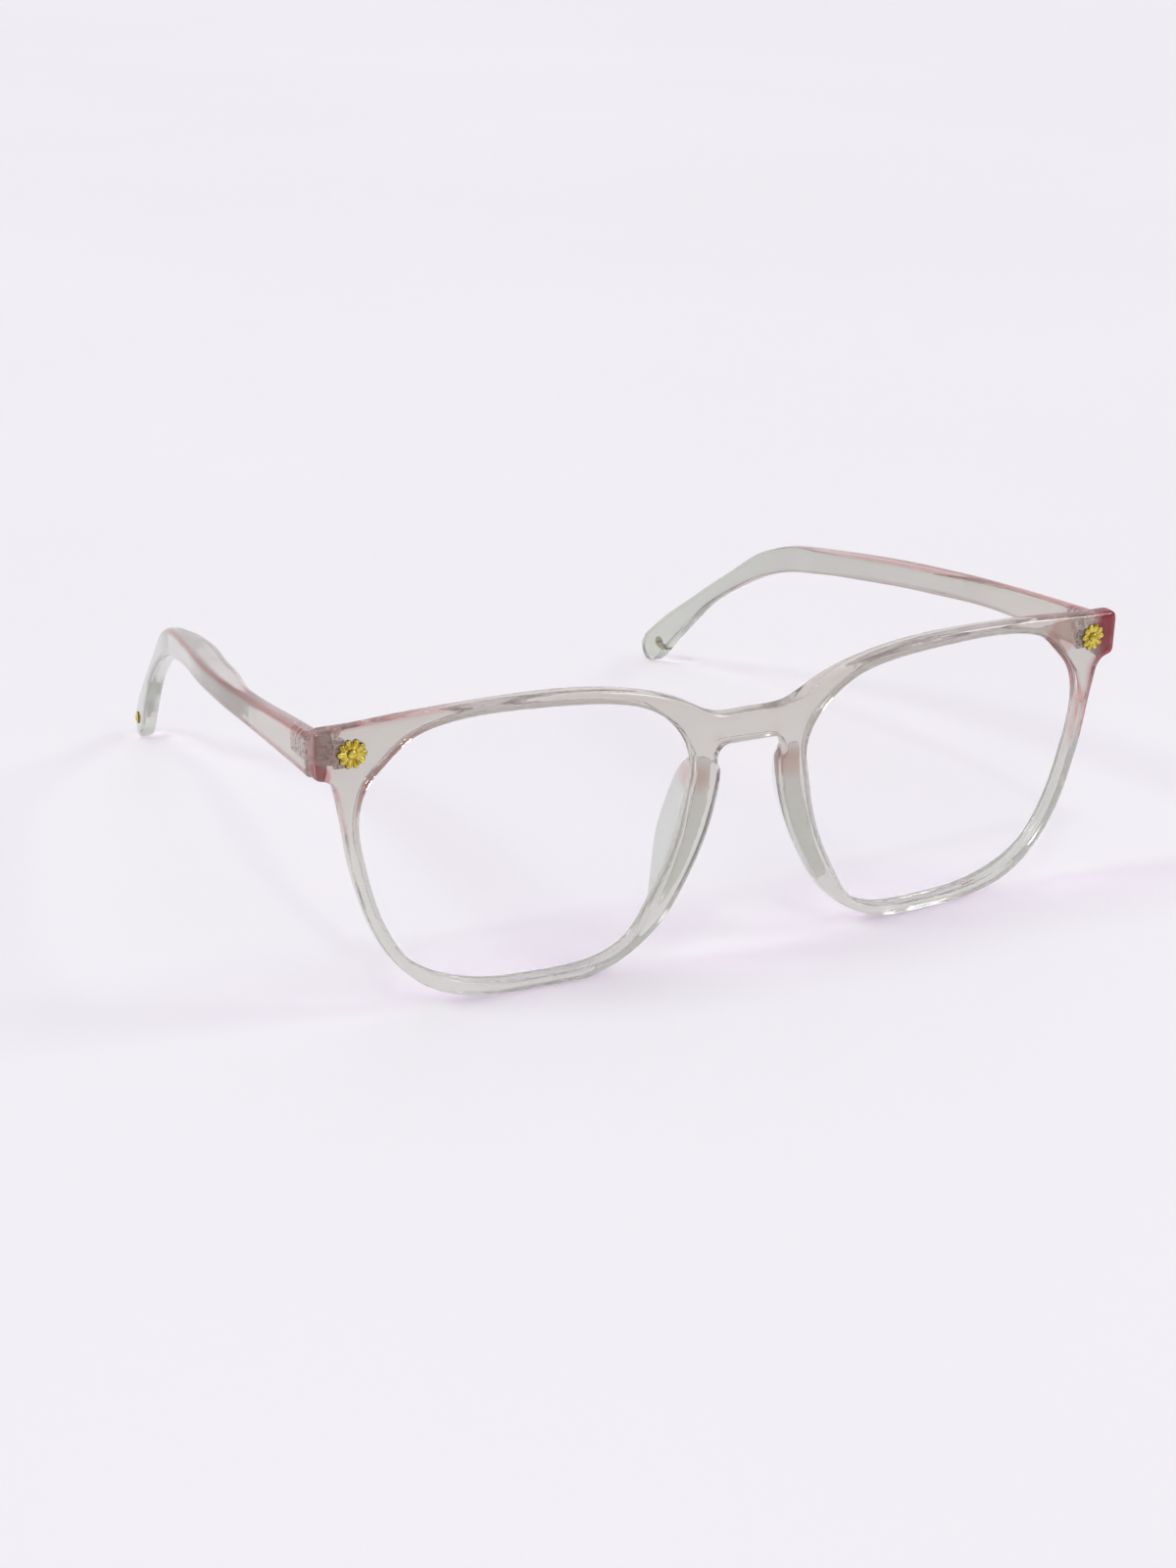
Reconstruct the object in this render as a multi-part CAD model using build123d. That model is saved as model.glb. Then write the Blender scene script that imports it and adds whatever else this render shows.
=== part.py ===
from build123d import *
import math
import os

# Square eyeglasses: a clear moulded front with two lenses, nose pads behind the
# rims, and two clear temples on barrel hinges, with metal trim on the end pieces.
# Millimetres. X runs across the front, Y from the front to the temple tips, Z up.
# Shapes are drawn with the front at Y zero. Each is then moved so that the origin
# is the middle of the footprint of the open glasses, on the table.

# Whole frame
overall_width = 138.6
overall_length = 128.0
front_height = 46.6
face_curve_radius = 833.0

# Lenses and rims
bridge_gap = 19.8
endpiece_width = 6.4
rim_bottom_height = 2.0
brow_height = 2.0
rim_depth = 3.4
rim_outer_radius = 0.9
rim_inner_radius = 0.35
groove_depth = 0.5
lens_thickness = 1.4
lens_clearance = 0.04

# Bridge and end pieces
bridge_height = 5.0
bridge_corner_radius = 1.4
endpiece_corner_radius = 1.1

# Nose pads
pad_root_overlap = 0.6
pad_reach = 5.6
pad_ridge_width = 1.4
pad_edge_radius = 0.5

# Temples
temple_inward = 15.0
temple_thickness = 2.7
temple_swell = 2.35
temple_edge_radius = 0.9
butt_gap = 0.15

# Hinges
hinge_setback = 1.9
hinge_side_gap = 0.2
barrel_radius = 1.3
knuckle_count = 5
knuckle_height = 0.8
knuckle_gap = 0.05
arm_thickness = 1.5
leaf_height = 3.2
leaf_thickness = 0.9
leaf_cover = 0.6
front_leaf_width = 4.4
temple_leaf_length = 6.0
tooth_count = 4
tooth_depth = 0.5
screw_radius = 0.6
screw_clearance = 0.03
screw_head_radius = 0.95
screw_head_height = 0.5
screw_slot_width = 0.3
screw_slot_depth = 0.25

# Rosettes on the end pieces
rosette_inset = 5.3
rosette_radius = 2.25
rosette_thickness = 0.2
rosette_petals = 10
petal_radius = 0.5
petal_point_radius = 0.15
rosette_boss_radius = 0.8
rosette_boss_rise = 0.65
rosette_post_length = 1.1
post_radius = 0.4

# Studs on the temple tips
tip_stud_setback = 3.7
tip_stud_height = 4.2
tip_stud_radius = 1.1
tip_stud_rim = 0.2
tip_stud_rise = 0.35
tip_stud_post_length = 1.2

overrun = 2.0

# Heights as shares of the front's height
endpiece_bottom_share = 0.808
endpiece_top_share = 0.970
hinge_height_share = 0.882
rosette_height_share = 0.893

# Outlines as shares. The lens opening goes round from its inner side, as shares of
# its own width and height.
opening_shares = [
    (0.000, 0.640), (0.019, 0.790), (0.075, 0.872), (0.158, 0.938), (0.300, 0.981),
    (0.519, 1.000), (0.738, 0.991), (0.864, 0.938), (0.921, 0.874), (0.966, 0.813),
    (0.998, 0.665), (0.983, 0.536), (0.949, 0.370), (0.907, 0.246), (0.840, 0.129),
    (0.740, 0.054), (0.617, 0.012), (0.440, 0.000), (0.300, 0.010), (0.189, 0.068),
    (0.123, 0.185), (0.062, 0.335), (0.023, 0.490),
]
# The right half of the front's outer edge, as shares of half its width and of its
# height: down the nose side, up the temple side, and back along the brow.
nose_side_shares = [
    (0.0755, 0.660), (0.085, 0.549), (0.114, 0.403), (0.156, 0.273), (0.203, 0.163),
    (0.260, 0.086), (0.333, 0.026), (0.411, 0.000),
]
temple_side_shares = [
    (0.548, 0.000), (0.645, 0.013), (0.740, 0.058), (0.781, 0.099), (0.837, 0.191),
    (0.879, 0.303), (0.903, 0.408), (0.928, 0.558), (0.939, 0.665), (0.950, 0.748),
    (0.957, 0.783),
]
brow_shares = [
    (0.909, 0.974), (0.817, 0.985), (0.649, 0.997), (0.476, 0.998), (0.346, 0.980),
    (0.289, 0.964), (0.209, 0.931), (0.166, 0.904), (0.132, 0.877), (0.102, 0.855),
    (0.058, 0.843), (0.000, 0.845),
]
# A temple seen from the side, as shares of the overall length and of the front's
# height: the top edge back to the tip, round under the tip, and forward again.
temple_top_shares = [
    (0.024, 0.951), (0.204, 0.902), (0.391, 0.844), (0.526, 0.798), (0.629, 0.753),
    (0.671, 0.731), (0.710, 0.694), (0.752, 0.635), (0.793, 0.551), (0.843, 0.451),
    (0.894, 0.344), (0.941, 0.245), (0.977, 0.160), (1.000, 0.063),
]
temple_bottom_shares = [
    (0.983, 0.000), (0.940, 0.088), (0.917, 0.158), (0.890, 0.237), (0.848, 0.352),
    (0.805, 0.438), (0.763, 0.511), (0.722, 0.570), (0.680, 0.615), (0.641, 0.643),
    (0.562, 0.690), (0.484, 0.723), (0.391, 0.755), (0.234, 0.788), (0.024, 0.801),
]
# The same temple from above: share of the overall length, share of the inward lean
# of its outer face, and share of the swell on its inner face.
temple_plan_shares = [
    (0.024, 0.000, 0.00), (0.156, 0.000, 0.00), (0.250, 0.004, 0.00), (0.282, 0.009, 0.13),
    (0.321, 0.020, 0.47), (0.360, 0.047, 0.77), (0.406, 0.087, 0.90), (0.453, 0.145, 0.98),
    (0.526, 0.260, 1.00), (0.578, 0.340, 0.79), (0.614, 0.393, 0.60), (0.649, 0.446, 0.20),
    (0.703, 0.530, 0.10), (0.820, 0.708, 0.10), (1.016, 1.000, 0.12), (1.059, 1.066, 0.12),
]
# A nose pad from its lower end up: height as a share of the front's height, then its
# nose side, lens side and ridge as shares of half the width, and its reach back.
pad_shares = [
    (0.150, 0.214, 0.252, 0.240, 0.02), (0.221, 0.180, 0.228, 0.215, 0.27),
    (0.268, 0.162, 0.209, 0.199, 0.57), (0.350, 0.133, 0.185, 0.181, 0.86),
    (0.433, 0.111, 0.167, 0.165, 1.00), (0.536, 0.091, 0.147, 0.146, 0.93),
    (0.620, 0.083, 0.139, 0.136, 0.70), (0.668, 0.081, 0.138, 0.131, 0.38),
    (0.700, 0.082, 0.137, 0.128, 0.02),
]

half_width = overall_width / 2
footprint_middle = overall_length / 2
lens_opening_width = half_width - bridge_gap / 2 - endpiece_width
lens_opening_height = front_height - rim_bottom_height - brow_height
endpiece_bottom_height = endpiece_bottom_share * front_height
endpiece_top_height = endpiece_top_share * front_height
knuckle_pitch = knuckle_height + knuckle_gap
hinge_height = knuckle_count * knuckle_pitch - knuckle_gap
hinge_x = half_width - temple_thickness - barrel_radius - hinge_side_gap
hinge_middle_height = hinge_height_share * front_height
hinge_bottom = hinge_middle_height - hinge_height / 2
rosette_x = half_width - rosette_inset
rosette_height = rosette_height_share * front_height


def face_y(x, depth):
    """How far back a depth inside the curved face lies at a place across the front."""
    return face_curve_radius - math.sqrt((face_curve_radius - depth) ** 2 - x**2)


def other_side(shape):
    return mirror(shape, about=Plane.YZ)


hinge_y = face_y(hinge_x, rim_depth) + hinge_setback


def curved_plate(front_depth, back_depth):
    """A plate along the face curve between two depths, wider and taller than the front."""
    reach = half_width + overrun
    curves = [
        ThreePointArc(
            (-reach, face_y(reach, depth)),
            (0, depth),
            (reach, face_y(reach, depth)),
        )
        for depth in (front_depth, back_depth)
    ]
    ends = [Line(curves[0] @ end, curves[1] @ end) for end in (0, 1)]
    plan = make_face(curves + ends)
    return Pos(0, 0, -overrun) * extrude(plan, amount=front_height + 2 * overrun)


def through_front(outline):
    """A block along Y with an outline drawn across the front."""
    return extrude(Plane.XZ * make_face(outline), amount=half_width, both=True)


def scaled(shares, width, height):
    return [(across * width, up * height) for across, up in shares]


def smooth_line(points, start, end):
    """A curve through points that sets off in one direction and arrives in another."""
    return Spline(*points, tangents=[start, end], tangent_scalars=(1, 1))


def opening_outline(growth):
    """The right lens opening's outline, or one that lies a little way outside it."""
    width = lens_opening_width + 2 * growth
    height = lens_opening_height + 2 * growth
    left = bridge_gap / 2 - growth
    bottom = rim_bottom_height - growth
    points = [(left + across, bottom + up) for across, up in scaled(opening_shares, width, height)]
    return [Spline(*points, periodic=True)]


def front_outline():
    """The right half of the front's outline and its mirror image."""
    nose_points = scaled(nose_side_shares, half_width, front_height)
    nose_side = smooth_line(nose_points, (0, -1), (1, 0))
    bridge_bottom = brow_shares[-1][1] * front_height - bridge_height
    corner_start = ((nose_side @ 0).X - bridge_corner_radius, bridge_bottom)
    bridge_corner = TangentArc(corner_start, nose_side @ 0, tangent=(1, 0))
    under_bridge = Line((0, bridge_bottom), corner_start)
    corner_x = half_width - endpiece_corner_radius
    lower_corner = TangentArc(
        (corner_x, endpiece_bottom_height),
        (half_width, endpiece_bottom_height + endpiece_corner_radius),
        tangent=(1, 0),
    )
    temple_points = scaled(temple_side_shares, half_width, front_height)
    temple_side = smooth_line([*temple_points, lower_corner @ 0], (1, 0), (1, 0))
    upper_corner = TangentArc(
        (half_width, endpiece_top_height - endpiece_corner_radius),
        (corner_x, endpiece_top_height),
        tangent=(0, 1),
    )
    brow_points = scaled(brow_shares, half_width, front_height)
    brow = smooth_line([upper_corner @ 1, *brow_points], (-1, 0), (-1, 0))
    half = [
        under_bridge,
        bridge_corner,
        nose_side,
        Line(nose_side @ 1, temple_side @ 0),
        temple_side,
        lower_corner,
        Line(lower_corner @ 1, upper_corner @ 0),
        upper_corner,
        brow,
    ]
    return half + [other_side(edge) for edge in half]


def broad_faces(shape):
    return shape.faces().sort_by(SortBy.AREA)[-2:]


def make_front():
    blank = curved_plate(0, rim_depth) & through_front(front_outline())
    rim_edges = [edge for face in broad_faces(blank) for edge in face.outer_wire().edges()]
    front = fillet(rim_edges, rim_outer_radius)
    opening = through_front(opening_outline(0))
    front = front - opening - other_side(opening)
    lips = [
        edge
        for face in broad_faces(front)
        for wire in face.inner_wires()
        for edge in wire.edges()
    ]
    front = fillet(lips, rim_inner_radius)
    groove = lens_sheet(lens_clearance)
    return front - groove - other_side(groove)


def lens_sheet(clearance):
    """The right lens, or the room for it in the rim with a clearance all round."""
    front_depth = (rim_depth - lens_thickness) / 2 - clearance
    back_depth = (rim_depth + lens_thickness) / 2 + clearance
    edge = through_front(opening_outline(groove_depth + clearance))
    return curved_plate(front_depth, back_depth) & edge


def make_nose_pad():
    """The right pad, fitted over the back of the rim it is bonded to."""
    sections = []
    for height, nose, lens, ridge, reach in pad_shares:
        root_y = rim_depth - pad_root_overlap
        ridge_y = rim_depth + reach * pad_reach
        ridge_x = ridge * half_width
        outline = Polyline(
            (nose * half_width, root_y),
            (ridge_x - pad_ridge_width, ridge_y),
            (ridge_x, ridge_y),
            (lens * half_width, root_y),
            close=True,
        )
        section = make_face(outline)
        ridge_corners = section.vertices().sort_by(Axis.Y)[-2:]
        section = fillet(ridge_corners, pad_edge_radius)
        sections.append(Pos(0, 0, height * front_height) * section)
    return loft(sections)


def make_temple():
    """The right temple: its side view and its plan cut from one block."""
    top = scaled(temple_top_shares, overall_length, front_height)
    bottom = scaled(temple_bottom_shares, overall_length, front_height)
    top_edge = smooth_line(top, (top[1][0] - top[0][0], top[1][1] - top[0][1]), (0, -1))
    under_tip = smooth_line([top[-1], bottom[0]], (0, -1), (-1, 0))
    bottom_edge = smooth_line(
        bottom, (-1, 0), (bottom[-1][0] - bottom[-2][0], bottom[-1][1] - bottom[-2][1])
    )
    side_view = make_face([top_edge, under_tip, bottom_edge, Line(bottom[-1], top[0])])
    side_block = extrude(Plane.YZ * side_view, amount=half_width + overrun)

    outer = []
    inner = []
    for back, lean, swell in temple_plan_shares:
        outer_x = half_width - lean * temple_inward
        outer.append((outer_x, back * overall_length))
        inner.append((outer_x - temple_thickness - swell * temple_swell, back * overall_length))
    outer_edge = Spline(*outer)
    inner_edge = Spline(*inner)
    ends = [Line(outer[0], inner[0]), Line(outer[-1], inner[-1])]
    plan = make_face([outer_edge, inner_edge, *ends])
    blank = side_block & extrude(plan, amount=front_height + overrun)

    start = top[0][0]
    long_edges = [
        edge
        for face in broad_faces(blank)
        for edge in face.edges()
        if edge.bounding_box().max.Y > start + temple_thickness
    ]
    temple = fillet(long_edges, temple_edge_radius)
    return temple - curved_plate(-overrun, rim_depth + butt_gap)


def on_hinge(shape, place):
    """Moves a shape onto the hinge axis, at a knuckle counted up from the bottom."""
    return Pos(hinge_x, hinge_y, hinge_bottom + place * knuckle_pitch) * shape


def rod(radius, height):
    return Cylinder(radius, height, align=(Align.CENTER, Align.CENTER, Align.MIN))


def make_front_leaf():
    """A plate inside the end piece with arms back to every other barrel."""
    plate_y = face_y(hinge_x, rim_depth) - leaf_cover - leaf_thickness / 2
    plate_x = hinge_x + arm_thickness / 2 - front_leaf_width / 2
    plate = Box(front_leaf_width, leaf_thickness, leaf_height)
    plate = chamfer(plate.edges().filter_by(Axis.Y), leaf_thickness / 2)
    leaf = Pos(plate_x, plate_y, hinge_middle_height) * plate
    arm = Box(
        arm_thickness,
        hinge_y - plate_y,
        knuckle_height,
        align=(Align.CENTER, Align.MAX, Align.MIN),
    )
    places = range(0, knuckle_count, 2)
    for place in places:
        leaf += on_hinge(arm + rod(barrel_radius, knuckle_height), place)
    leaf -= on_hinge(rod(screw_radius, hinge_height), 0)
    for place in places[1:]:
        leaf -= on_hinge(rod(screw_radius + screw_clearance, knuckle_height), place)
    return leaf


def make_temple_leaf():
    """A toothed plate inside the temple with arms inward to the other barrels."""
    plate_x = half_width - temple_thickness + leaf_cover + leaf_thickness / 2
    plate_start = hinge_y - arm_thickness / 2
    plate_end = plate_start + temple_leaf_length
    tooth_height = leaf_height / tooth_count
    low = hinge_middle_height - leaf_height / 2
    outline = [(plate_start, low + leaf_height), (plate_start, low), (plate_end, low)]
    for tooth in range(tooth_count):
        base = low + tooth * tooth_height
        outline.append((plate_end - tooth_depth, base + tooth_height / 2))
        outline.append((plate_end, base + tooth_height))
    side = make_face(Polyline(*outline, close=True))
    leaf = Pos(plate_x, 0, 0) * extrude(Plane.YZ * side, amount=leaf_thickness / 2, both=True)
    arm = Box(
        plate_x - hinge_x,
        arm_thickness,
        knuckle_height,
        align=(Align.MIN, Align.CENTER, Align.MIN),
    )
    for place in range(1, knuckle_count, 2):
        leaf += on_hinge(arm + rod(barrel_radius, knuckle_height), place)
    return leaf - on_hinge(rod(screw_radius + screw_clearance, hinge_height), 0)


def make_screw():
    """The hinge screw, tight in the lowest barrel, its slotted head on the top one."""
    head = rod(screw_head_radius, screw_head_height)
    crown = head.faces().sort_by(Axis.Z)[-1]
    head = fillet(crown.edges(), screw_head_height / 2)
    slot = Box(
        2 * screw_head_radius,
        screw_slot_width,
        screw_slot_depth,
        align=(Align.CENTER, Align.CENTER, Align.MAX),
    )
    head -= Pos(0, 0, screw_head_height) * slot
    screw = rod(screw_radius, hinge_height) + Pos(0, 0, hinge_height) * head
    return on_hinge(screw, 0)


def domed_boss(radius, straight, rise):
    """A round boss with straight sides and a low dome on top."""
    ball_radius = (radius**2 + rise**2) / (2 * rise)
    ball = Pos(0, 0, straight + rise - ball_radius) * Sphere(ball_radius)
    return rod(radius, straight + rise) & ball


def post(length):
    return Pos(0, 0, -length) * rod(post_radius, length)


def make_rosette():
    """Half-round petals about a domed middle, on a thin disc with a post behind it."""
    petal_ring = rosette_radius - petal_radius
    ray = Cone(
        petal_point_radius,
        petal_radius,
        petal_ring,
        align=(Align.CENTER, Align.CENTER, Align.MIN),
    )
    petal = Rot(0, 90, 0) * ray + Pos(petal_ring, 0, 0) * Sphere(petal_radius)
    petal = split(petal, bisect_by=Plane.XY, keep=Keep.TOP)
    rosette = rod(petal_ring, rosette_thickness) + post(rosette_post_length)
    for turn in range(rosette_petals):
        rosette += Rot(0, 0, turn * 360 / rosette_petals) * petal
    rosette += domed_boss(rosette_boss_radius, rosette_thickness, rosette_boss_rise)
    turn = math.degrees(math.asin(rosette_x / face_curve_radius))
    seat = Pos(rosette_x, face_y(rosette_x, 0), rosette_height)
    return seat * Rot(0, 0, turn) * Rot(90, 0, 0) * rosette


def make_tip_stud(temple):
    """A domed stud on the outer face of the temple tip, with a post into it."""
    from_outside = (overall_width, overall_length - tip_stud_setback, tip_stud_height)
    point, normal = temple.find_intersection_points(Axis(from_outside, (-1, 0, 0)))[0]
    stud = domed_boss(tip_stud_radius, tip_stud_rim, tip_stud_rise)
    return Plane(origin=point, z_dir=normal) * (stud + post(tip_stud_post_length))


front = make_front()
temple = make_temple()
front_leaf = make_front_leaf()
temple_leaf = make_temple_leaf()
rosette = make_rosette()
tip_stud = make_tip_stud(temple)
for insert in (front_leaf, rosette):
    front = front - insert - other_side(insert)

right_parts = {
    "lens": lens_sheet(0),
    "nose_pad": (make_nose_pad() - front).solids().sort_by(SortBy.VOLUME)[-1],
    "front_hinge_leaf": front_leaf,
    "temple_hinge_leaf": temple_leaf,
    "hinge_screw": make_screw(),
    "front_rosette": rosette,
    "temple": temple - temple_leaf - tip_stud,
    "tip_stud": tip_stud,
}
parts = {"front_frame": front}
for name, shape in right_parts.items():
    parts[name + "_right"] = shape
    parts[name + "_left"] = other_side(shape)

os.makedirs("parts", exist_ok=True)
for name, shape in parts.items():
    export_step(Pos(0, -footprint_middle, 0) * shape, f"parts/{name}.step")
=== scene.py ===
import math
from collections import namedtuple

import bmesh
import bpy
from mathutils import Matrix, Vector


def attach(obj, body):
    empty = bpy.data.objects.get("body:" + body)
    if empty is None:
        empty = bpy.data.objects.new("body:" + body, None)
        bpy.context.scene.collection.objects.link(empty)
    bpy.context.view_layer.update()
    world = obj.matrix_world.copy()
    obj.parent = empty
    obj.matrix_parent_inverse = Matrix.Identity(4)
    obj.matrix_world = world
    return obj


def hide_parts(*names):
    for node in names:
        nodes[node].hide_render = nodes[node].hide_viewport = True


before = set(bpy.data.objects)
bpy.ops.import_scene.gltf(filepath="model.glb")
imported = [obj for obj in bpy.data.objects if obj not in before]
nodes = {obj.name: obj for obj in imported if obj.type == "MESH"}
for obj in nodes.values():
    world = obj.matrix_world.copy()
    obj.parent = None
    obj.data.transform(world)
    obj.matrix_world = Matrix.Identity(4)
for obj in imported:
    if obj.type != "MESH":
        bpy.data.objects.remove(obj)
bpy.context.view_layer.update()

# Square eyeglasses of clear plastic with pink tints and gold trim. Metres, in the
# frame of the CAD: X across the front, Y towards the temple tips, Z up. Left is the
# side of negative X.

sides = ("left", "right")


# Camera, as worked out from the photograph. Angles are in degrees.

camera_place = Vector((-0.1935, -0.37169, 0.17216))
camera_azimuth = -28.50
camera_elevation = 22.92
camera_roll = 2.21
camera_lean = 1.23
camera_sensor_mm = 36
camera_lens_mm = 59.59
camera_clip_start = 0.01


def aim_camera():
    """Adds the camera: aimed by azimuth and elevation, rolled, then leant about X."""
    turn = math.radians(camera_azimuth)
    lift = math.radians(camera_elevation)
    roll = math.radians(camera_roll)
    back = Vector((
        math.sin(turn) * math.cos(lift),
        -math.cos(turn) * math.cos(lift),
        math.sin(lift),
    ))
    right = (-back).cross(Vector((0, 0, 1))).normalized()
    up = right.cross(-back)
    rolled_right = math.cos(roll) * right + math.sin(roll) * up
    rolled_up = -math.sin(roll) * right + math.cos(roll) * up
    axes = Matrix((rolled_right, rolled_up, back)).transposed()
    axes = Matrix.Rotation(math.radians(camera_lean), 3, "X") @ axes
    data = bpy.data.cameras.new("camera")
    data.sensor_width = camera_sensor_mm
    data.lens = camera_lens_mm
    data.clip_start = camera_clip_start
    camera = bpy.data.objects.new("camera", data)
    camera.matrix_world = Matrix.Translation(camera_place) @ axes.to_4x4()
    bpy.context.scene.collection.objects.link(camera)
    bpy.context.scene.camera = camera


aim_camera()


# Shaders

class Shader:
    """A material's node tree, with short ways to add nodes and feed their inputs.

    An input is fed with an output socket to link from, or with a plain value. Stops
    are pairs of a share from 0 to 1 and a colour.
    """

    def __init__(self, name):
        self.material = bpy.data.materials.new(name)
        self.material.use_nodes = True
        self.tree = self.material.node_tree
        self.tree.nodes.clear()
        self.output = self.add("ShaderNodeOutputMaterial")
        self.place = self.add("ShaderNodeTexCoord").outputs

    def feed(self, socket, value):
        if isinstance(value, bpy.types.NodeSocket):
            self.tree.links.new(value, socket)
        elif socket.type == "RGBA":
            socket.default_value = (*value, 1)
        else:
            socket.default_value = value

    def add(self, kind, inputs=None, **settings):
        """Adds a node, with its inputs given by name or number."""
        node = self.tree.nodes.new(kind)
        for name, value in settings.items():
            setattr(node, name, value)
        for key, value in (inputs or {}).items():
            self.feed(node.inputs[key], value)
        return node

    def finish(self, surface):
        """Makes the given shader the material's surface."""
        self.feed(self.output.inputs["Surface"], surface)
        return self.material

    def maths(self, operation, *values):
        inputs = dict(enumerate(values))
        return self.add("ShaderNodeMath", inputs, operation=operation).outputs["Value"]

    def split(self, vector):
        return self.add("ShaderNodeSeparateXYZ", {"Vector": vector}).outputs

    def noise(self, scale, detail):
        inputs = {"Vector": self.place["Object"], "Scale": scale, "Detail": detail}
        return self.add("ShaderNodeTexNoise", inputs).outputs["Fac"]

    def bump(self, height, strength, distance):
        inputs = {"Height": height, "Strength": strength, "Distance": distance}
        return self.add("ShaderNodeBump", inputs).outputs["Normal"]

    def share(self, source, start, end, **settings):
        """0 to 1 as the source goes from start to end."""
        inputs = {"Value": source, "From Min": start, "From Max": end}
        return self.add("ShaderNodeMapRange", inputs, **settings).outputs["Result"]

    def fade(self, source, start, end):
        """Like share, but eased at both ends."""
        return self.share(source, start, end, interpolation_type="SMOOTHERSTEP")

    def ramp(self, source, stops):
        node = self.add("ShaderNodeValToRGB", {"Fac": source})
        elements = node.color_ramp.elements
        while len(elements) < len(stops):
            elements.new(0.5)
        for element, (at, colour) in zip(elements, stops):
            element.position = at
            element.color = (*colour, 1)
        return node.outputs["Color"]

    def mix(self, blend_type, factor, first, second):
        # A Mix node keeps its colours in inputs 6 and 7, and its mixed one in output 2.
        inputs = {0: factor, 6: first, 7: second}
        node = self.add(
            "ShaderNodeMix", inputs, data_type="RGBA", blend_type=blend_type
        )
        return node.outputs[2]


def grey(value):
    return (value, value, value)


# Clear plastic

# A round place of deeper tint. Its core, as a share of its reach, has the full tint.
Blush = namedtuple("Blush", "centre reach tint")
soft_core = 0.25
solid_core = 0.72

# Tints of a piece's upper edge, by stops along the piece. They set in over the range
# of turn, where lean is how much facing outwards counts beside facing up.
Edge = namedtuple("Edge", "lean turn stops")

# The colour that the depth of the plastic leaves of light, and how fast it does so.
Body = namedtuple("Body", "colour density")

shadow_tint = (0.76, 0.67, 0.77)
ripple_scale = 90
ripple_detail = 2
ripple_strength = 0.02
ripple_depth = 0.0002


def blush(shader, position, tint, blushes, core):
    """The tint, made deeper in each of the blushes."""
    for place in blushes:
        inputs = {0: position, 1: place.centre}
        distance = shader.add("ShaderNodeVectorMath", inputs, operation="DISTANCE")
        near = shader.fade(distance.outputs["Value"], place.reach, place.reach * core)
        tint = shader.mix("MULTIPLY", near, tint, place.tint)
    return tint


def tint_edge(shader, split, turned, along, tint, edge):
    """The tint, with that of the edge over it; turned is the way the surface faces."""
    outward = shader.maths("SIGN", split["X"])
    aside = shader.maths("MULTIPLY", outward, turned["X"])
    facing = shader.maths("MULTIPLY_ADD", aside, edge.lean, turned["Z"])
    # Only its size counts, because Normal is turned round for light in the plastic.
    size = shader.maths("ABSOLUTE", facing)
    colours = shader.ramp(along, edge.stops)
    return shader.mix("MULTIPLY", shader.fade(size, *edge.turn), tint, colours)


def plastic(name, axis, span, broad_axis, faces, walls, turn=(0.45, 0.95),
            wall_blushes=(), mirrored_blushes=(), solid_blushes=(), edge=None,
            body=Body(grey(0.5), 18.0), clear=0.89, ior=1.49, roughness=0.045,
            coat=0.0):
    """Polished clear plastic with tints that run along an axis over a span.

    Its broad faces, which look along broad_axis, and its narrow walls have stops of
    their own, and the walls go over into the faces over the range of turn.
    """
    shader = Shader(name)
    place = shader.place["Object"]
    split = shader.split(place)
    turned = shader.split(shader.place["Normal"])
    along = shader.share(split[axis], *span)
    wall_tint = blush(shader, place, shader.ramp(along, walls), wall_blushes, soft_core)
    flat = shader.fade(shader.maths("ABSOLUTE", turned[broad_axis]), *turn)
    tint = shader.mix("MIX", flat, wall_tint, shader.ramp(along, faces))
    mirrored = shader.add("ShaderNodeCombineXYZ", {
        "X": shader.maths("ABSOLUTE", split["X"]),
        "Y": split["Y"],
        "Z": split["Z"],
    })
    mirrored_place = mirrored.outputs["Vector"]
    tint = blush(shader, mirrored_place, tint, mirrored_blushes, soft_core)
    tint = blush(shader, place, tint, solid_blushes, solid_core)
    if edge:
        tint = tint_edge(shader, split, turned, along, tint, edge)
    ripple = shader.noise(ripple_scale, ripple_detail)
    surface = shader.add("ShaderNodeBsdfPrincipled", {
        "Base Color": tint,
        "Transmission Weight": clear,
        "IOR": ior,
        "Roughness": roughness,
        "Coat Weight": coat,
        "Normal": shader.bump(ripple, ripple_strength, ripple_depth),
    })
    # Light goes straight through to where the shadow falls, so that it is pale.
    through = shader.add("ShaderNodeBsdfTransparent", {"Color": shadow_tint})
    blend = shader.add("ShaderNodeMixShader", {
        "Fac": shader.add("ShaderNodeLightPath").outputs["Is Shadow Ray"],
        1: surface.outputs["BSDF"],
        2: through.outputs["BSDF"],
    })
    if body:
        inputs = {"Color": body.colour, "Density": body.density}
        volume = shader.add("ShaderNodeVolumeAbsorption", inputs)
        shader.feed(shader.output.inputs["Volume"], volume.outputs["Volume"])
    return shader.finish(blend.outputs["Shader"])


pink = (0.82, 0.56, 0.56)
front_height = (0.0, 0.046)

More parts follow.
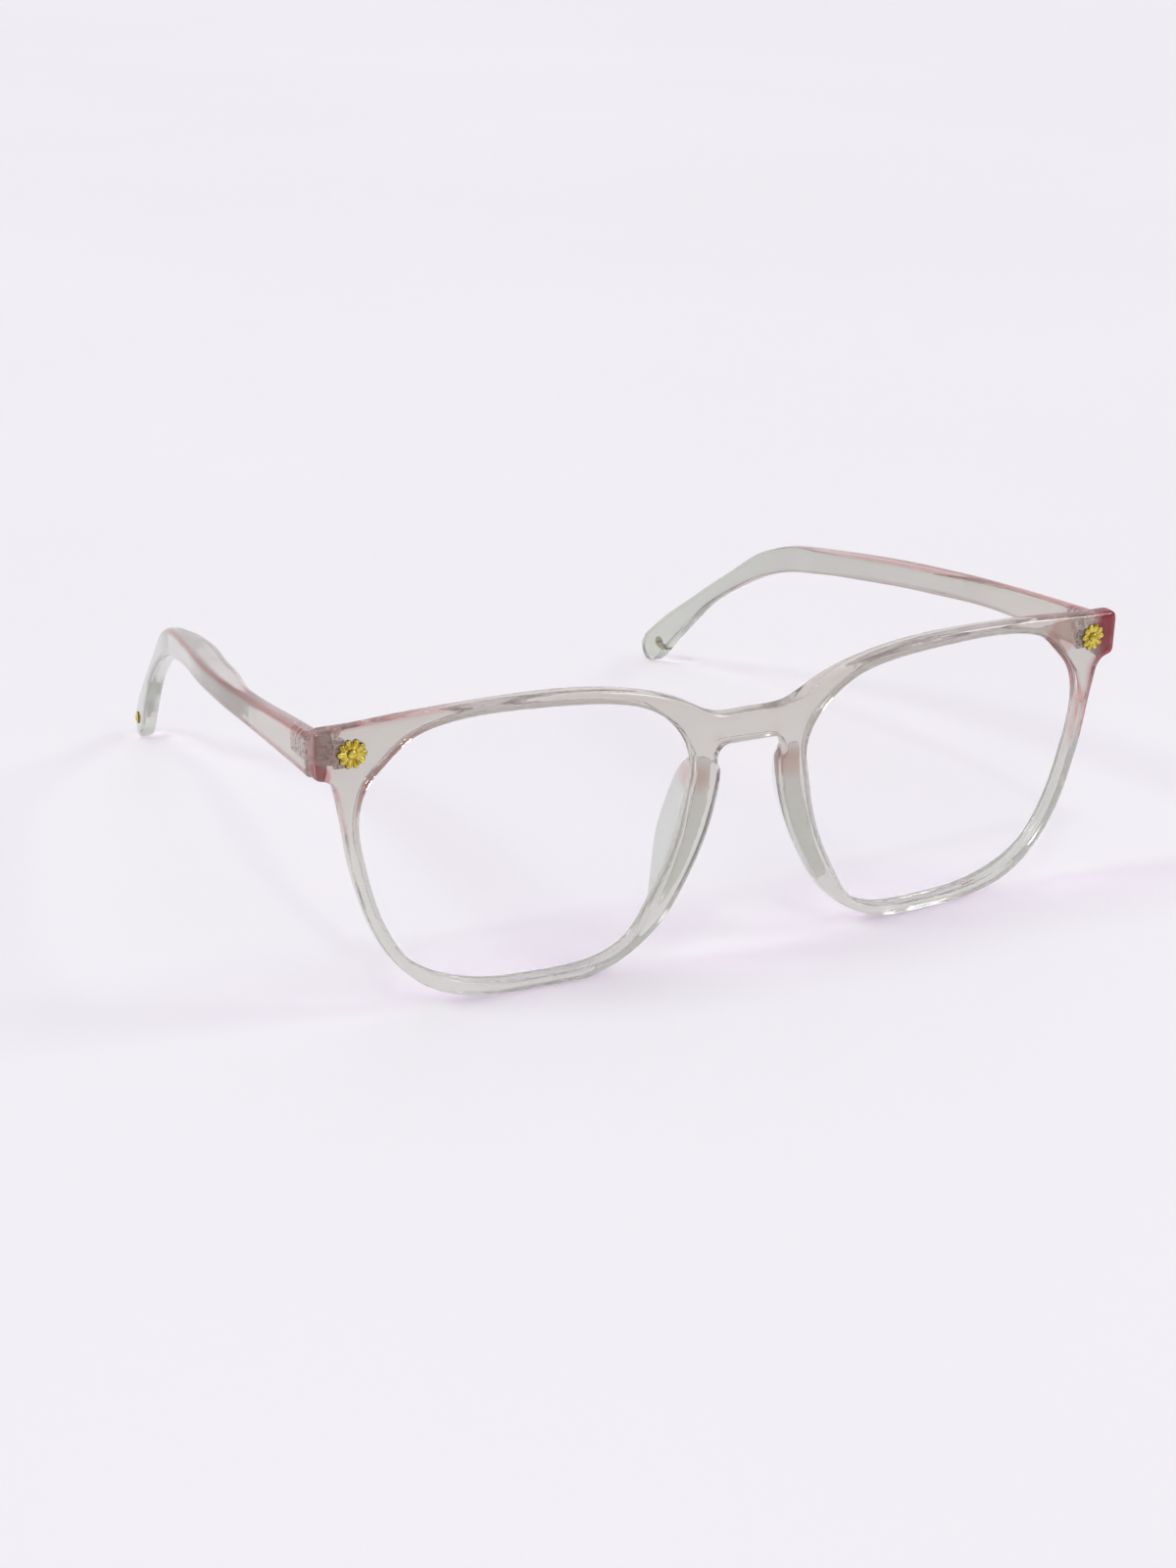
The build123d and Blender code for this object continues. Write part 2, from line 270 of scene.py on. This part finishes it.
front_plastic = plastic(
    "front_plastic", "Z", front_height, "Y",
    faces=[
        (0.00, (0.82, 0.84, 0.77)),
        (0.50, (0.79, 0.79, 0.73)),
        (0.85, (0.73, 0.71, 0.65)),
        (1.00, (0.72, 0.69, 0.63)),
    ],
    walls=[
        (0.00, (0.74, 0.77, 0.70)),
        (0.50, (0.74, 0.75, 0.68)),
        (0.75, (0.75, 0.72, 0.66)),
        (1.00, (0.77, 0.74, 0.68)),
    ],
    wall_blushes=[
        # Left rim, from its end piece down
        Blush((-0.0620, -0.0615, 0.0440), 0.0200, pink),
        Blush((-0.0560, -0.0610, 0.0385), 0.0070, (0.84, 0.46, 0.45)),
        Blush((-0.0592, -0.0610, 0.0345), 0.0066, (0.84, 0.44, 0.43)),
        Blush((-0.0597, -0.0610, 0.0300), 0.0060, (0.86, 0.54, 0.53)),
        # Right end piece
        Blush((0.0650, -0.0615, 0.0440), 0.0120, pink),
    ],
    mirrored_blushes=[
        # Hinge ends, then the sides of the bridge
        Blush((0.0690, -0.0600, 0.0415), 0.0055, (0.96, 0.80, 0.79)),
        Blush((0.0052, -0.0620, 0.0352), 0.0020, (0.80, 0.44, 0.42)),
    ],
    solid_blushes=[
        # Right end piece: its crimson end, then beside the lens
        Blush((0.0704, -0.0620, 0.0425), 0.0064, (0.80, 0.13, 0.19)),
        Blush((0.0575, -0.0615, 0.0425), 0.0036, (0.86, 0.60, 0.58)),
        # Left end piece, at the foot of its hinge
        Blush((-0.0690, -0.0605, 0.0385), 0.0024, (0.86, 0.30, 0.34)),
        # Outer side of the right rim, from its end piece down
        Blush((0.0697, -0.0610, 0.0345), 0.0062, (0.76, 0.24, 0.28)),
        Blush((0.0690, -0.0610, 0.0300), 0.0062, (0.80, 0.34, 0.36)),
        Blush((0.0684, -0.0610, 0.0255), 0.0062, (0.86, 0.50, 0.50)),
    ],
)

temple_edges = {
    "left": Edge(1.0, (1.05, 1.38), [
        (0.00, (0.88, 0.42, 0.44)),
        (0.50, (0.86, 0.40, 0.38)),
        (0.80, (0.84, 0.56, 0.52)),
        (1.00, grey(1.0)),
    ]),
    "right": Edge(0.25, (0.40, 0.90), [
        (0.00, (0.86, 0.50, 0.51)),
        (0.50, (0.86, 0.52, 0.51)),
        (0.75, (0.88, 0.70, 0.67)),
        (0.90, grey(1.0)),
    ]),
}
temple_plastics = {}
for side in sides:
    temple_plastics[side] = plastic(
        "temple_plastic_" + side, "Y", (-0.060, 0.064), "X",
        faces=[
            (0.00, (0.70, 0.65, 0.60)),
            (0.12, (0.70, 0.68, 0.62)),
            (0.35, (0.67, 0.67, 0.61)),
            (0.65, (0.63, 0.64, 0.59)),
            (1.00, (0.69, 0.72, 0.65)),
        ],
        walls=[
            (0.00, (0.74, 0.60, 0.57)),
            (0.15, (0.78, 0.71, 0.67)),
            (0.55, (0.78, 0.77, 0.71)),
            (0.75, (0.77, 0.79, 0.71)),
            (1.00, (0.76, 0.80, 0.72)),
        ],
        turn=(0.20, 0.70),
        edge=temple_edges[side],
        body=Body((0.62, 0.60, 0.54), 8.0),
        clear=0.84,
    )

# Pads and lenses bend light less than real plastic does: with its own index, their
# joints with the rims look like black streaks.
pad_plastic = plastic(
    "pad_plastic", "Z", (0.005, 0.034), "X",
    faces=[
        (0.00, (0.92, 0.93, 0.91)),
        (0.20, (0.74, 0.78, 0.73)),
        (0.85, (0.78, 0.80, 0.76)),
        (1.00, (0.94, 0.93, 0.92)),
    ],
    walls=[
        (0.00, (0.90, 0.92, 0.89)),
        (0.20, (0.76, 0.79, 0.73)),
        (0.85, (0.80, 0.80, 0.76)),
        (1.00, (0.94, 0.93, 0.92)),
    ],
    mirrored_blushes=[Blush((0.0085, -0.0600, 0.0290), 0.0034, (0.90, 0.62, 0.58))],
    clear=0.86, ior=1.06, roughness=0.08, coat=1.0,
)
lens_plastic = plastic(
    "lens_plastic", "Z", front_height, "Y",
    faces=[(0.0, (0.985, 0.99, 0.99)), (1.0, (0.99, 0.985, 0.99))],
    walls=[(0.0, (0.93, 0.95, 0.94)), (1.0, (0.94, 0.92, 0.93))],
    body=None, clear=1.0, ior=1.12, roughness=0.0,
)


# Metal

metal_bump_depth = 0.0001
most_polished = 0.7
least_polished = 1.4
# Painted shade: the dark colour given to faces turned away from a flute axis.
painted_flute_shade = (0.10, 0.06, 0.02)


def metal(name, dark, light, roughness, scale, bump_strength, metallic=1.0,
          painted_shade_axis=None):
    """Metal with fine variation of colour and polish.

    Where its axis argument names an axis, painted shade darkens what doesn't look
    along it, in place of the shade that falls on the walls of flutes.
    """
    shader = Shader(name)
    noise = shader.noise(scale, 6)
    colour = shader.ramp(noise, [(0.35, dark), (0.65, light)])
    if painted_shade_axis:
        turned = shader.split(shader.place["Normal"])
        # Painted shade, deeper the further a face turns from the axis.
        facing = shader.maths("ABSOLUTE", turned[painted_shade_axis])
        shade = shader.ramp(facing, [(0.30, painted_flute_shade), (0.85, grey(1.0))])
        colour = shader.mix("MULTIPLY", 1.0, colour, shade)
    polish = [
        (0.3, grey(roughness * most_polished)),
        (0.7, grey(roughness * least_polished)),
    ]
    surface = shader.add("ShaderNodeBsdfPrincipled", {
        "Base Color": colour,
        "Metallic": metallic,
        "Roughness": shader.ramp(noise, polish),
        "Normal": shader.bump(noise, bump_strength, metal_bump_depth),
    })
    return shader.finish(surface.outputs["BSDF"])


# Rosettes lie across the front, and studs across the temples.
gold = {
    "dark": (0.50, 0.37, 0.04),
    "light": (0.95, 0.78, 0.17),
    "roughness": 0.16,
    "scale": 900,
    "bump_strength": 0.08,
}
# Both golds get painted shade on the faces that turn away from their axis.
rosette_gold = metal("rosette_gold", **gold, painted_shade_axis="Y")
stud_gold = metal("stud_gold", **gold, painted_shade_axis="X")
leaf_steel = metal(
    "leaf_steel", (0.30, 0.22, 0.20), (0.96, 0.86, 0.82),
    roughness=0.30, scale=2200, bump_strength=0.3, metallic=0.4,
)
screw_steel = metal(
    "screw_steel", (0.70, 0.62, 0.60), (0.88, 0.82, 0.80),
    roughness=0.20, scale=1500, bump_strength=0.1, metallic=0.7,
)


# Pieces

weld_distance = 1e-6
voxel_size = 0.0002
smoothing = 0.5
front_passes = 30
temple_passes = 14
pad_passes = 10


def shade_smooth(mesh):
    for polygon in mesh.polygons:
        polygon.use_smooth = True


def even_mesh(piece, passes):
    """The piece's mesh, made again of small even faces and smoothed."""
    welded = bmesh.new()
    welded.from_mesh(piece.data)
    bmesh.ops.remove_doubles(welded, verts=welded.verts, dist=weld_distance)
    welded.to_mesh(piece.data)
    welded.free()
    remesh = piece.modifiers.new("even", "REMESH")
    remesh.mode = "VOXEL"
    remesh.voxel_size = voxel_size
    smooth = piece.modifiers.new("smooth", "SMOOTH")
    smooth.factor = smoothing
    smooth.iterations = passes
    evaluated = piece.evaluated_get(bpy.context.evaluated_depsgraph_get())
    mesh = bpy.data.meshes.new_from_object(evaluated)
    piece.modifiers.clear()
    return mesh


def skin(node, body, material, passes):
    """Shows a node by an even copy of its shape, which bends light smoothly."""
    piece = bpy.data.objects.new(node + "_skin", nodes[node].data.copy())
    bpy.context.scene.collection.objects.link(piece)
    piece.data = even_mesh(piece, passes)
    piece.data.materials.clear()
    piece.data.materials.append(material)
    shade_smooth(piece.data)
    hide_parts(node)
    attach(piece, body)


def dress(node, material):
    """Gives a node of the CAD its material."""
    mesh = nodes[node].data
    mesh.materials.clear()
    mesh.materials.append(material)
    shade_smooth(mesh)


skin("front_frame", "front", front_plastic, front_passes)
for side in sides:
    temple = "temple_" + side
    skin(temple, temple, temple_plastics[side], temple_passes)
    skin("nose_pad_" + side, "front", pad_plastic, pad_passes)
    dress("lens_" + side, lens_plastic)
    dress("front_hinge_leaf_" + side, leaf_steel)
    dress("temple_hinge_leaf_" + side, leaf_steel)
    dress("hinge_screw_" + side, screw_steel)
    dress("front_rosette_" + side, rosette_gold)
    dress("tip_stud_" + side, stud_gold)


# Floor, light and surroundings

floor_half_width = 6.0
floor_front = -8.0
floor_back = 5.0
floor_top = 4.0
floor_curve_radius = 1.0
floor_curve_steps = 24
floor_dark = (0.885, 0.872, 0.902)
floor_light = (0.905, 0.889, 0.926)
floor_roughness = 0.55
floor_gloss = 0.25

horizon_colour = (0.86, 0.85, 0.87, 1)
overhead_colour = (1.0, 0.99, 1.02, 1)
overhead_from = 0.7
world_strength = 0.62


def floor_paper():
    shader = Shader("floor_paper")
    noise = shader.noise(3.0, 4)
    surface = shader.add("ShaderNodeBsdfPrincipled", {
        "Base Color": shader.ramp(noise, [(0.3, floor_dark), (0.7, floor_light)]),
        "Roughness": floor_roughness,
        "Specular IOR Level": floor_gloss,
    })
    return shader.finish(surface.outputs["BSDF"])


def add_floor():
    """A pale sweep: flat under the object, curving up far behind it."""
    curve_start = floor_back - floor_curve_radius
    profile = [(floor_front, 0.0), (curve_start, 0.0)]
    for step in range(1, floor_curve_steps + 1):
        turn = math.pi / 2 * step / floor_curve_steps
        profile.append((
            curve_start + floor_curve_radius * math.sin(turn),
            floor_curve_radius * (1 - math.cos(turn)),
        ))
    profile.append((floor_back, floor_top))
    points = [
        (x, y, z) for y, z in profile for x in (-floor_half_width, floor_half_width)
    ]
    faces = [(i, i + 1, i + 3, i + 2) for i in range(0, 2 * len(profile) - 2, 2)]
    mesh = bpy.data.meshes.new("floor")
    mesh.from_pydata(points, [], faces)
    mesh.materials.append(floor_paper())
    shade_smooth(mesh)
    floor = bpy.data.objects.new("floor", mesh)
    bpy.context.scene.collection.objects.link(floor)


def add_sun(name, towards, spread, strength, colour):
    """A soft light from far off, with the way towards it and its width in degrees."""
    data = bpy.data.lights.new(name, "SUN")
    data.angle = math.radians(spread)
    data.energy = strength
    data.color = colour
    light = bpy.data.objects.new(name, data)
    light.rotation_euler = Vector(towards).to_track_quat("Z", "Y").to_euler()
    bpy.context.scene.collection.objects.link(light)


def add_world():
    """Surroundings that are bright overhead and a little darker at the horizon."""
    world = bpy.data.worlds.new("studio")
    world.use_nodes = True
    tree = world.node_tree
    tree.nodes.clear()
    place = tree.nodes.new("ShaderNodeTexCoord")
    split = tree.nodes.new("ShaderNodeSeparateXYZ")
    tree.links.new(place.outputs["Generated"], split.inputs["Vector"])
    ramp = tree.nodes.new("ShaderNodeValToRGB")
    horizon, overhead = ramp.color_ramp.elements
    horizon.position = 0.0
    horizon.color = horizon_colour
    overhead.position = overhead_from
    overhead.color = overhead_colour
    tree.links.new(split.outputs["Z"], ramp.inputs["Fac"])
    background = tree.nodes.new("ShaderNodeBackground")
    background.inputs["Strength"].default_value = world_strength
    tree.links.new(ramp.outputs["Color"], background.inputs["Color"])
    output = tree.nodes.new("ShaderNodeOutputWorld")
    tree.links.new(background.outputs["Background"], output.inputs["Surface"])
    bpy.context.scene.world = world


add_floor()
add_sun(
    "key", towards=(-1.0, 0.25, 0.9), spread=14, strength=0.94,
    colour=(1.0, 0.99, 0.995),
)
add_sun(
    "fill", towards=(0.9, -0.35, 0.9), spread=18, strength=0.64,
    colour=(1.0, 0.985, 0.99),
)
add_sun(
    "glint", towards=(-0.30, -0.45, 1.0), spread=2.5, strength=0.20,
    colour=(1.0, 1.0, 1.0),
)
add_world()

scene = bpy.context.scene
scene.view_settings.view_transform = "Standard"
scene.view_settings.look = "None"
scene.cycles.max_bounces = 24
scene.cycles.transmission_bounces = 20
scene.cycles.transparent_max_bounces = 24
scene.cycles.glossy_bounces = 8
scene.cycles.caustics_refractive = True
